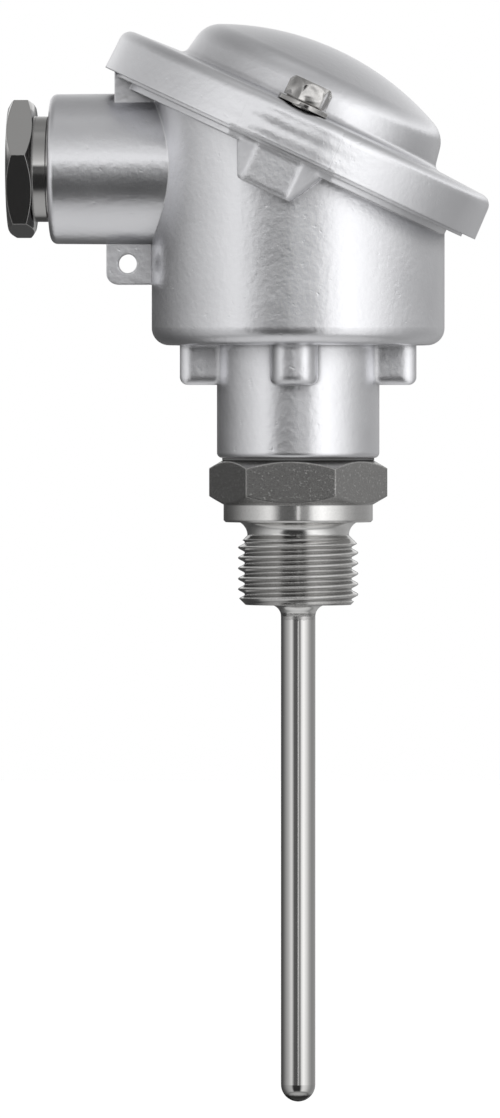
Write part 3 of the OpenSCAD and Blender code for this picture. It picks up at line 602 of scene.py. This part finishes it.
# Brightness by direction, in degrees: round the stem from the camera's side, and upwards.
LEVEL_GLOW = [(-180, 0.10), (-147, 0.08), (-123, 0.14), (-106, 0.27), (-92, 0.44), (-80, 0.58),
              (-68, 0.72), (-57, 0.96), (-48, 1.16), (-42, 1.10), (-35, 0.66), (-28, 0.18),
              (-16, 0.15), (-9, 0.15), (-2.6, 0.17), (-2, 1.3), (2, 1.3), (2.6, 0.36), (14, 0.44),
              (23, 1.38), (38, 1.68), (48, 1.40), (57, 1.20), (70, 0.88), (80, 0.62), (100, 0.41),
              (123, 0.41), (150, 0.48), (172, 0.38), (180, 0.10)]
SIDE_GLOW = [(-180, 0.76), (-155, 0.74), (-130, 0.66), (-100, 0.66), (-70, 0.76), (-50, 0.92),
             (-30, 0.97), (0, 0.98), (40, 1.03), (70, 1.05), (110, 0.82), (180, 0.76)]
UPPER_GLOW = [(0, 1.4), (12, 1.4), (20, 1.0), (28, 0.84), (42, 0.60), (56, 0.49), (66, 0.48),
              (79, 0.58), (90, 0.62)]
LOWER_GLOW = [(-90, 0.70), (-70, 0.66), (-58, 0.56), (-51, 0.38), (-46, 0.12), (-40, 0.04),
              (-8, 0.05)]
TABLE_EDGE = [(-180, 0.20), (-70, 0.20), (-45, 0.45), (-32, 1.0), (10, 1.0), (25, 0.35),
              (60, 0.20), (90, 0.10), (180, 0.10)]
GLOW_RANGE = 2
WHITE = (1, 1, 1)
DIFFUSE_LIGHT = 0.7
TENT_R = 1.6
FLOOR_R = 9
FLOOR_BELOW = 0.25


def make_world():
    """White to the eye and in reflections, a little less as light on the object."""
    world = bpy.data.worlds.new("studio")
    bpy.context.scene.world = world
    world.use_nodes = True
    n = Nodes(world.node_tree)
    camera, glossy, through = (
        n.node("ShaderNodeLightPath", output=ray)
        for ray in ("Is Camera Ray", "Is Glossy Ray", "Is Transmission Ray"))
    seen = camera.maths("MAXIMUM", glossy).maths("MAXIMUM", through)
    background = n.tree.nodes["Background"]
    plug(n.tree, background.inputs["Color"], WHITE)
    plug(n.tree, background.inputs["Strength"], seen * (1 - DIFFUSE_LIGHT) + DIFFUSE_LIGHT)


def tent_glow():
    """What polished metal sees: soft boxes at both sides, a dark camera side, a pale table."""
    f = Finish("tent_glow")
    x, y, z = f.apart(f.place)
    azimuth = (x.maths("ARCTAN2", y * -1.0) - VIEW_AZIMUTH) / TAU + 0.5
    height = z.maths("ARCTAN2", axis_distance(x, y)) / math.pi + 0.5

    def by_direction(place, turn, stops):
        """Brightness over GLOW_RANGE from a list of degrees, whose whole turn is one."""
        return f.node("ShaderNodeValToRGB", {"Fac": place}, "Color", stops=[
            (0.5 + degrees / turn, (glow / GLOW_RANGE,) * 3) for degrees, glow in stops])

    def between(low, high, to_low=0.0, to_high=1.0):
        """A change between two heights, in degrees."""
        return f.remap(height, 0.5 + low / 180, 0.5 + high / 180, to_low, to_high)

    level = by_direction(azimuth, 360, LEVEL_GLOW)
    sides = by_direction(azimuth, 360, SIDE_GLOW)
    edge = by_direction(azimuth, 360, TABLE_EDGE) * GLOW_RANGE
    above = by_direction(height, 180, UPPER_GLOW)
    below = by_direction(height, 180, LOWER_GLOW)
    level = level * (1.0 - edge * between(1.5, 3, 0, 0.6)) * GLOW_RANGE
    up = between(6.5, 10.5)
    down = between(-6, -11) * edge.maths("MAXIMUM", between(-50, -40, 1, 0))
    glow = level * (1.0 - up) + above * sides * GLOW_RANGE ** 2 * up
    glow = glow * (1.0 - down) + below * GLOW_RANGE * down
    lamp = f.node("ShaderNodeEmission", {"Color": WHITE, "Strength": glow})
    plug(f.tree, f.tree.nodes["Material Output"].inputs["Surface"], lamp)
    f.tree.nodes.remove(f.shader)
    f.material.cycles.emission_sampling = "NONE"
    return f.material


def paper_white():
    """The floor's paper, lifted to white for the eye alone."""
    f = Finish("floor_paper")
    seen = f.node("ShaderNodeLightPath", output="Is Camera Ray")
    return f.finished(Base_Color=(0.95, 0.95, 0.95), Roughness=0.9, Emission_Color=WHITE,
                      Emission_Strength=seen * 0.35)


def add_stage(name, shape, material):
    """An object of the studio from a shape in bmesh, which is freed."""
    mesh = bpy.data.meshes.new(name)
    shape.to_mesh(mesh)
    shape.free()
    mesh.materials.append(material)
    stage = bpy.data.objects.new(name, mesh)
    bpy.context.collection.objects.link(stage)
    return stage


def make_tent():
    """A ball round the studio that only mirrors see."""
    ball = bmesh.new()
    bmesh.ops.create_uvsphere(ball, u_segments=48, v_segments=24, radius=TENT_R)
    tent = add_stage("tent", ball, tent_glow())
    tent.visible_camera = False
    tent.visible_diffuse = False
    tent.visible_shadow = False
    tent.visible_transmission = False


def make_floor():
    disc = bmesh.new()
    bmesh.ops.create_circle(disc, cap_ends=True, segments=64, radius=FLOOR_R)
    floor = add_stage("floor", disc, paper_white())
    floor.location.z = CAD_BOX[0].z - FLOOR_BELOW
    floor.visible_glossy = False


def add_lamp(name, place, size, power):
    """A soft box that looks at the object and that no mirror sees."""
    data = bpy.data.lights.new(name, "AREA")
    data.shape = "RECTANGLE"
    data.size, data.size_y = size
    data.energy = power
    lamp = bpy.data.objects.new(name, data)
    lamp.location = place
    lamp.rotation_mode = "QUATERNION"
    lamp.rotation_quaternion = (-Vector(place)).to_track_quat("-Z", "Y")
    lamp.visible_glossy = False
    bpy.context.collection.objects.link(lamp)


# ---- The probe in its studio ----

make_camera()
make_world()
make_tent()
make_floor()
add_lamp("key", (1.0, -1.3, 0.9), (0.8, 1.2), 9)
add_lamp("fill", (-1.2, -1.1, 0.5), (0.8, 1.2), 5)

FINISHES = {
    "cast_aluminium": cast_lacquer(),
    "stainless": fitting_steel(),
    "polished_tube": polished_tube("polished_tube"),
    "weld_cap": polished_tube("weld_cap"),
    "nickel_plate": nickel_plate(),
    "bright_screw": bright_screw(),
    "seal_rubber": quiet_finish("seal_rubber", (0.03, 0.03, 0.03), 0.0, 0.6),
    "gasket_sheet": quiet_finish("gasket_sheet", (0.12, 0.12, 0.12), 0.0, 0.7),
    "ceramic": quiet_finish("glazed_ceramic", (0.86, 0.85, 0.81), 0.0, 0.25),
    "brass": quiet_finish("turned_brass", (0.72, 0.52, 0.22), 1.0, 0.25),
    "spring_steel": quiet_finish("spring_wire", (0.45, 0.44, 0.43), 1.0, 0.3),
    "wire_sleeve": quiet_finish("wire_sleeve", (0.55, 0.04, 0.03), 0.0, 0.45),
}
for node, slot in SLOT_OF.items():
    dress(node, FINISHES[slot])

# The parallel pipe thread of the process fitting.
add_threaded("process_fitting", "head", FINISHES["stainless"], Matrix.Identity(4), PIPE_THREAD)

# The pressure screw's thread, along the cable entry.
entry = Matrix.Rotation(math.pi / 2, 4, "Y") @ Matrix.Translation((0, 0, -ENTRY_Z))
add_threaded("pressure_screw", "pressure_screw", FINISHES["nickel_plate"], entry, GLAND_THREAD)

# The threads of the two captive cover screws, from their ends up to the clips' grooves.
for screw in ("front_cover_screw", "rear_cover_screw"):
    at = Vector(joint(screw + "_turn")["pos_m"])
    upright = Matrix.Rotation(-COVER_TILT, 4, "Y") @ Matrix.Translation(-at)
    add_threaded(screw, screw, FINISHES["bright_screw"], upright, SCREW_THREAD)

# The springs under the insert's screws.
springs = wound_springs(FINISHES["spring_steel"], [(0, -INSERT_SCREW_Y), (0, INSERT_SCREW_Y)])
piece = add_piece("coil_springs", springs, "head", "insert_springs")
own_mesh(piece)

bpy.context.scene.view_settings.view_transform = "Standard"
